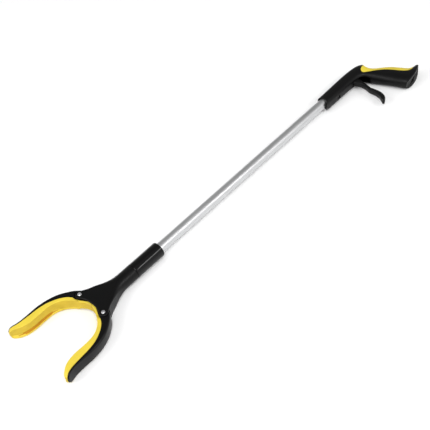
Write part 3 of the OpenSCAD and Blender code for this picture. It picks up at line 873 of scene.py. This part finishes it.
# each rung: front point, back point, half thickness, squareness, bow of the rung outwards
HANDLE_RUNGS = [
    ((385, -11.6), (385, 9.2), 10.9, 3.4, 0), ((391, -11.6), (391, 9.2), 10.9, 3.4, 0),
    ((405, -11.8), (405, 9.3), 11.0, 3.4, 0), ((426, -12), (426, 9.8), 11.0, 3.4, 0),
    ((444, -12.1), (444, 10.3), 11.0, 3.4, 0), ((459, -12.4), (462, 10.6), 11.1, 3.3, 0),
    ((471, -13.1), (477, 10.5), 11.4, 3.0, 0), ((478.5, -14.4), (488, 9.9), 11.7, 2.8, 0),
    ((481.8, -15.7), (497, 8.8), 11.9, 2.6, 0), ((484, -17.8), (504.5, 6.5), 12.1, 2.5, 0),
    ((485.4, -19.8), (510.2, 2), 12.2, 2.4, 0), ((486.6, -21.6), (509.3, -5), 12.2, 2.4, 0),
    ((488, -24.6), (508.8, -11), 12.2, 2.4, 0), ((490.4, -30.2), (511.6, -18.4), 12.2, 2.4, 0),
    ((493.6, -38), (519, -26.4), 12.2, 2.4, 0), ((497.4, -47.5), (529, -35.4), 12.2, 2.4, 0),
    ((501.2, -56.5), (537, -45.4), 12.2, 2.4, 0.3), ((505, -65.6), (543, -56.4), 12.2, 2.4, 1.0),
    ((508.4, -74), (547.6, -65), 12.2, 2.5, 2.0), ((510.6, -79.6), (552.6, -69.8), 12.2, 2.6, 3.2),
    ((512, -82.6), (559.5, -71.7), 12.2, 2.7, 4.2), ((512.9, -84.4), (564, -72.2), 12.2, 2.8, 4.7),
    ((513.6, -86), (566.4, -74.6), 11.9, 2.9, 5.2),
]
RUNG_STEPS = 5          # from one rung to the next
RUNG_SIDES = 48
# over the butt: how far each last ring is drawn in, and how far it rises past the last rung
BUTT = [(0.45, 0.55), (1.1, 0.9), (2.0, 1.05), (2.5, 0.75), (6.0, 1.0)]


def super_point(a, e):
    """A point at angle a of a unit superellipse of squareness e."""
    c, s = math.cos(a), math.sin(a)
    return math.copysign(abs(c) ** (2 / e), c), math.copysign(abs(s) ** (2 / e), s)


def bowed(front, back, bow, u):
    """The plan point at u, from -1 at the front to 1 at the back, of a rung bowed outwards."""
    half = ((back[0] - front[0]) / 2, (back[1] - front[1]) / 2)
    long = math.hypot(*half)
    out = (half[1] / long, -half[0] / long)
    lift = bow * (1 - u * u)
    return (
        (front[0] + back[0]) / 2 + half[0] * u + out[0] * lift,
        (front[1] + back[1]) / 2 + half[1] * u + out[1] * lift,
    )


def section_of(front, back, h, e, bow=0, grow=0.0, sides=RUNG_SIDES):
    """The ring round one rung: half thickness h, squareness e, grown all round by grow."""
    k = 1 + 2 * grow / math.dist(front, back)
    ring = []
    for i in range(sides):
        u, z = super_point(2 * math.pi * (i + 0.5) / sides, e)
        ring.append((*bowed(front, back, bow, u * k), z * (h + grow)))
    return ring


def ladder(name, rungs, grow=0.0, caps=()):
    """A solid through the rungs' sections; past the last one it closes over the caps' rings."""
    flat = [(*front, *back, h, e, bow) for front, back, h, e, bow in rungs]
    rings = []
    for row in curve(flat, RUNG_STEPS):
        front, back, h, e, bow = row[0:2], row[2:4], *row[4:]
        rings.append(section_of(front, back, h, e, bow, grow))
    long = math.dist(front, back)
    d = ((back[0] - front[0]) / long, (back[1] - front[1]) / long)
    for inset, rise in caps:
        out = (d[1] * rise, -d[0] * rise)
        f2 = (front[0] + d[0] * inset + out[0], front[1] + d[1] * inset + out[1])
        b2 = (back[0] - d[0] * inset + out[0], back[1] - d[1] * inset + out[1])
        flatter = bow * (1 - inset / (long / 2))
        rings.append(section_of(f2, b2, h - inset, e, flatter, grow))
    return loft(name, rings)


RUBBER_PROUD = 0.12
form = ladder("handle_upper", HANDLE_RUNGS, caps=BUTT)
rubber = ladder("grip_rubber", HANDLE_RUNGS, grow=RUBBER_PROUD, caps=BUTT)

# the rooms inside the handle, and what opens out of it
TRIGGER_PIVOT = (475.0, 4.5)
ROOM = [
    (438, 7.2), (466, 8.3), (482, 8.3), (490, 5.8), (497, 1), (499, -8), (499.5, -17), (494, -26),
    (490.5, -26), (487, -19), (481, -9.8), (438, -9.6),
]
TRIGGER_SLOT = [(464, -8), (464, -30), (491.8, -30.5), (494, -26), (490, -8)]
ROOM_HALF = 8
TRIGGER_SLOT_HALF = 6.3
BARREL_BORE = (TUBE_R + 0.05, 380, 440)
MOUTH = (387, -0.6)
MOUTH_R = 13
SCREW_HOLE_SPAN = (-20, -7)
SCREW_RECESS = [(-20, 0), (-20, 3.6), (-11.2, 3.3), (-9.15, 3.1), (-9.15, 0)]
BOSSES = [(452.5, 5.8), (495, -2.4), (515.4, -52), (541, -82)]
BOSS_R = 3.6
BOSS_HALF = 7.4
BOSS_HOLE_R = 1.53
BOSS_HOLE_TOP = 8
BOSS_POCKET_R = 2.9
BOSS_POCKET_TOP = -6.6

cut(form, slab("tool", ROOM, -ROOM_HALF, ROOM_HALF))
cut(form, slab("tool", TRIGGER_SLOT, -TRIGGER_SLOT_HALF, TRIGGER_SLOT_HALF))
cut(form, rod(*BARREL_BORE, sides=96))
cut(form, pin(MOUTH_R, -THROUGH, THROUGH, MOUTH, 96))
cut(form, rod(TUBE_SCREW_HOLE_R, *SCREW_HOLE_SPAN, "y", TUBE_SCREW, 32))
cut(form, lathe("tool", SCREW_RECESS, 48, "y", TUBE_SCREW))
for b in BOSSES:
    join(form, pin(BOSS_R, -BOSS_HALF, BOSS_HALF, b))


def shifted(path, d):
    """The path moved d to its left."""
    return [(x + d * q[0], y + d * q[1]) for (x, y), q in zip(path, normals(path, False))]


RUBBER_DEPTH = 2.2
ZONE_OUTSIDE = 6
ZONE_HALF = 16


def insert_zone(groove):
    """The room of the soft layer: from the core out past the grip's back, a groove inside its edge."""
    edge = shifted(insert_edge, groove)
    zone = slab("zone", shifted(back_edge, ZONE_OUTSIDE) + edge[::-1], -ZONE_HALF, ZONE_HALF)
    return cut(zone, ladder("core", HANDLE_RUNGS, grow=-RUBBER_DEPTH))


HALVES_SEAM = 0.05
AROUND_HANDLE = (370, 600, -110, 30)
TRIGGER_PIN_R = 2.02
TRIGGER_PIN_HALF = 9.6
INSERT_GROOVE = 0.22


def handle_half(name, z0, z1):
    """The part of the handle's form from z0 to z1, with its screw and pin holes."""
    half = copy_of(form, name)
    common(half, block(*AROUND_HANDLE, z0, z1))
    cut(half, pin(TRIGGER_PIN_R, -TRIGGER_PIN_HALF, TRIGGER_PIN_HALF, TRIGGER_PIVOT, 40))
    for b in BOSSES:
        cut(half, pin(BOSS_HOLE_R, -THROUGH, BOSS_HOLE_TOP, b, 24))
        if z0 < 0:
            cut(half, pin(BOSS_POCKET_R, -THROUGH, BOSS_POCKET_TOP, b, 40))
    return half


cut(form, insert_zone(0))
common(rubber, insert_zone(INSERT_GROOVE))
upper = handle_half("handle_half_upper", HALVES_SEAM, THROUGH)
piece(upper, "handle", black_handle, ["handle_shell_upper"], 35)
lower = handle_half("handle_half_lower", -THROUGH, -HALVES_SEAM)
piece(lower, "handle", black_handle, ["handle_shell_lower"], 35)
bpy.data.objects.remove(form)
for b in BOSSES:
    cut(rubber, pin(BOSS_POCKET_R, -THROUGH, BOSS_POCKET_TOP, b, 40))
piece(rubber, "handle", yellow_grip, ["grip_insert"], 35)

# ---------------------------------------------------------------- trigger

TRIGGER_HALF = 5.6
TRIGGER_SQUARENESS = 3.2
TRIGGER_SIDES = 36
TRIGGER_STEPS = 70
TRIGGER_HUB_R = 3.25
TRIGGER_BORE_R = 2.1
TRIGGER_TIP = (462.2, -77.6)
TRIGGER_TIP_R = 1.9
TRIGGER_TIP_HALF = 4.8
PULL_LEG = (472.45, -9.27)
PULL_LEG_R = 1.6
PULL_LEG_HALF = 4.3
PULL_ROOM = (450, 480, -13.4, -1.6)
PULL_ROOM_HALF = 1.75

trigger_front = curve([
    (471.8, 3.8), (468.4, -2.6), (465.4, -8), (466.6, -14.4), (470, -23.4),
    (470.2, -34.4), (467.6, -44.4), (467.6, -55.6), (465.8, -66), (461.8, -73.4), (460.4, -78),
])
trigger_back = curve([
    (478.2, 4.2), (481.4, -6), (480.8, -14), (477.4, -24.6), (475.8, -33.6), (473.2, -44.4),
    (474.2, -52.6), (474.8, -61.4), (473.2, -69.8), (468.8, -76.6), (463.2, -79.8),
])
even = [i / TRIGGER_STEPS for i in range(TRIGGER_STEPS + 1)]
fronts, backs = resampled(trigger_front, even), resampled(trigger_back, even)
trigger = loft("trigger_lever", [
    section_of(front, back, TRIGGER_HALF, TRIGGER_SQUARENESS, sides=TRIGGER_SIDES)
    for front, back in zip(fronts, backs)
])
join(trigger, pin(TRIGGER_HUB_R, -TRIGGER_HALF, TRIGGER_HALF, TRIGGER_PIVOT, 48))
join(trigger, pin(TRIGGER_TIP_R, -TRIGGER_TIP_HALF, TRIGGER_TIP_HALF, TRIGGER_TIP))
cut(trigger, pin(TRIGGER_BORE_R, -THROUGH, THROUGH, TRIGGER_PIVOT, 48))
cut(trigger, block(*PULL_ROOM, -PULL_ROOM_HALF, PULL_ROOM_HALF))
cut(trigger, pin(PULL_LEG_R, -PULL_LEG_HALF, PULL_LEG_HALF, PULL_LEG))
piece(trigger, "trigger", black_trigger, ["trigger"], 35)

# ---------------------------------------------------------------- carried-over nodes

FINISH = {
    "pivot_nuts": chrome, "head_screws": steel, "drive_pin_left": steel, "drive_pin_right": steel,
    "crosshead": white_plastic, "spring_seat": steel, "swivel_washer": white_plastic,
    "collar_rivet": chrome, "rod_guide_front": white_plastic, "rod_guide_rear": white_plastic,
    "pull_rod": steel, "trigger_pin": chrome, "handle_screws": steel, "tube_screw": dark_steel,
}
for name, material in FINISH.items():
    for place in nodes[name].material_slots:
        place.material = material

# ---------------------------------------------------------------- floor, light and camera

FLOOR_HALF = 6
PAPER_DARK = (0.955, 0.955, 0.955)
PAPER_LIGHT = (0.97, 0.97, 0.97)
WALLS = 0.6


def paper_floor():
    """A wide sheet of white paper for the part to lie on."""
    mesh = bpy.data.meshes.new("floor")
    bm = bmesh.new()
    bmesh.ops.create_grid(bm, x_segments=40, y_segments=40, size=FLOOR_HALF)
    bm.to_mesh(mesh)
    bm.free()
    mat, tree, shader = new_material("studio_paper", PAPER_LIGHT, 0.75, 0, 0.2)
    coloured(tree, shader, noise_of(tree, PAPER_SCALE, 3), PAPER_DARK, PAPER_LIGHT)
    mesh.materials.append(mat)
    return linked("floor", mesh)


floor = paper_floor()


def toward(tree, direction, low, high, amount):
    """A patch of the studio's walls round a direction, from nothing at low to amount at high."""
    coords = tree.nodes.new("ShaderNodeTexCoord")
    dot = tree.nodes.new("ShaderNodeVectorMath")
    dot.operation = "DOT_PRODUCT"
    dot.inputs[1].default_value = Vector(direction).normalized()
    tree.links.new(coords.outputs["Generated"], dot.inputs[0])
    return mapped(tree, dot.outputs["Value"], 0, amount, low, high)


def studio_world():
    """Pale walls, a bright panel low on the trigger's side and a dark ceiling behind the tube."""
    world = bpy.data.worlds.new("studio")
    world.use_nodes = True
    tree = world.node_tree
    background = tree.nodes["Background"]
    background.inputs["Color"].default_value = (1, 1, 1, 1)
    panel = toward(tree, (0.45, -0.88, 0.1), low=0.72, high=0.92, amount=0.42)
    ceiling = toward(tree, (0.44, 0.5, 0.75), low=0.72, high=0.95, amount=-0.24)
    light = add(tree, add(tree, panel, ceiling), WALLS)
    tree.links.new(light, background.inputs["Strength"])
    return world


def area_light(name, place, target, size, power, size_y=None):
    """A lamp of the given size in metres, turned to its target."""
    data = bpy.data.lights.new(name, "AREA")
    data.energy = power
    data.size = size
    if size_y:
        data.shape = "RECTANGLE"
        data.size_y = size_y
    lamp = linked(name, data)
    lamp.location = place
    lamp.rotation_euler = (Vector(target) - Vector(place)).to_track_quat("-Z", "Y").to_euler()


bpy.context.scene.world = studio_world()
area_light("strip", (0.45, -0.96, 0.96), (-0.1, 0, 0), size=0.6, power=3.5, size_y=0.2)
area_light("key", (-0.9, -1.0, 2.2), (0, 0, 0), size=1.2, power=31)
area_light("fill", (-2.2, 0.8, 1.6), (0, 0, 0), size=1.6, power=28)

# a long lens, down on to the part from its trigger's side and rolled to the photo's slant
CAMERA_PLACE = (-0.73453, -0.78540, 1.17317)
CAMERA_RIGHT = (0.66963, -0.73579, -0.10102)
CAMERA_UP = (0.60109, 0.45703, 0.65561)
CAMERA_BACK = (-0.43622, -0.49974, 0.74831)
camera_data = bpy.data.cameras.new("camera")
camera_data.lens = 84.06
camera_data.sensor_width = 36.0
camera_data.clip_start = 0.05
camera = linked("camera", camera_data)
turn = Matrix((CAMERA_RIGHT, CAMERA_UP, CAMERA_BACK)).transposed().to_4x4()
camera.matrix_world = Matrix.Translation(CAMERA_PLACE) @ turn
bpy.context.scene.camera = camera
bpy.context.scene.view_settings.view_transform = "Standard"
